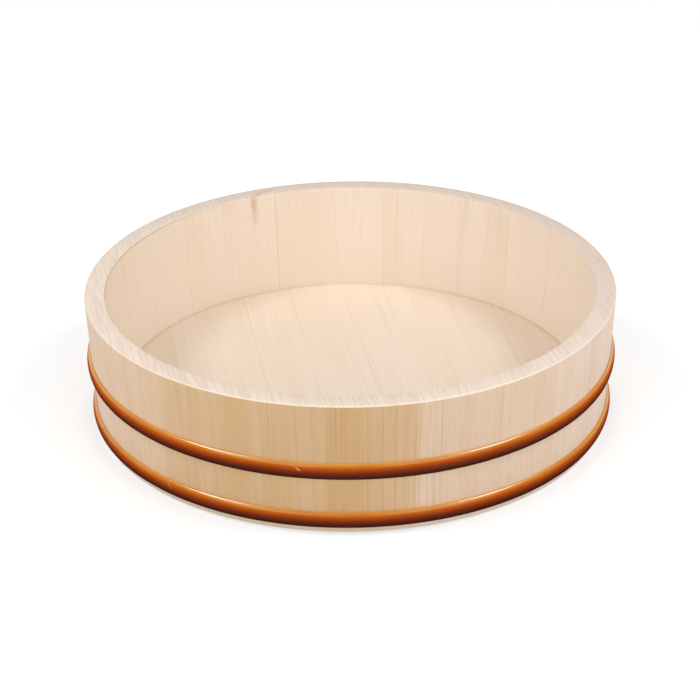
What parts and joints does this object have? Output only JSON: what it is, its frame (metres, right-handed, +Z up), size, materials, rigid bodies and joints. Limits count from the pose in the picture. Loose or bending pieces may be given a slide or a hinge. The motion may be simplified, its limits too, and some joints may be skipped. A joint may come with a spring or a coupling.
{
  "type": "rice tub",
  "caption": "Low round wooden tub for mixing and serving rice, of tapered staves round a flat boarded floor, bound by glossy plastic hoops.",
  "frame": {"origin": "centre of the ring that the staves stand on, at the level of the surface below", "axes": "+Z up along the tub's axis, out of its mouth; -Y is the side that faces the viewer in the picture; +X to the viewer's right"},
  "size_m": [0.3316, 0.3316, 0.084],
  "materials": {
    "stave_wood": "planed and unvarnished",
    "floor_wood": "planed and unvarnished",
    "bamboo": "split and shaved",
    "hoop_plastic": "glossy"
  },
  "bodies": {
    "root": {"stave_01": "stave_wood", "stave_02": "stave_wood", "stave_03": "stave_wood", "stave_04": "stave_wood", "stave_05": "stave_wood", "stave_06": "stave_wood", "stave_07": "stave_wood", "stave_08": "stave_wood", "stave_09": "stave_wood", "stave_10": "stave_wood", "stave_11": "stave_wood", "stave_12": "stave_wood", "stave_13": "stave_wood", "stave_14": "stave_wood", "stave_15": "stave_wood", "stave_16": "stave_wood", "stave_17": "stave_wood", "stave_18": "stave_wood", "stave_19": "stave_wood", "stave_20": "stave_wood", "stave_21": "stave_wood", "stave_22": "stave_wood", "stave_23": "stave_wood", "stave_24": "stave_wood", "stave_25": "stave_wood", "stave_26": "stave_wood", "floor_board_1": "floor_wood", "floor_board_2": "floor_wood", "floor_board_3": "floor_wood", "floor_board_4": "floor_wood", "floor_board_5": "floor_wood", "floor_board_6": "floor_wood", "lower_hoop": "hoop_plastic", "upper_hoop": "hoop_plastic", "stave_dowels": "bamboo", "floor_dowels": "bamboo"}
  },
  "joints": []
}
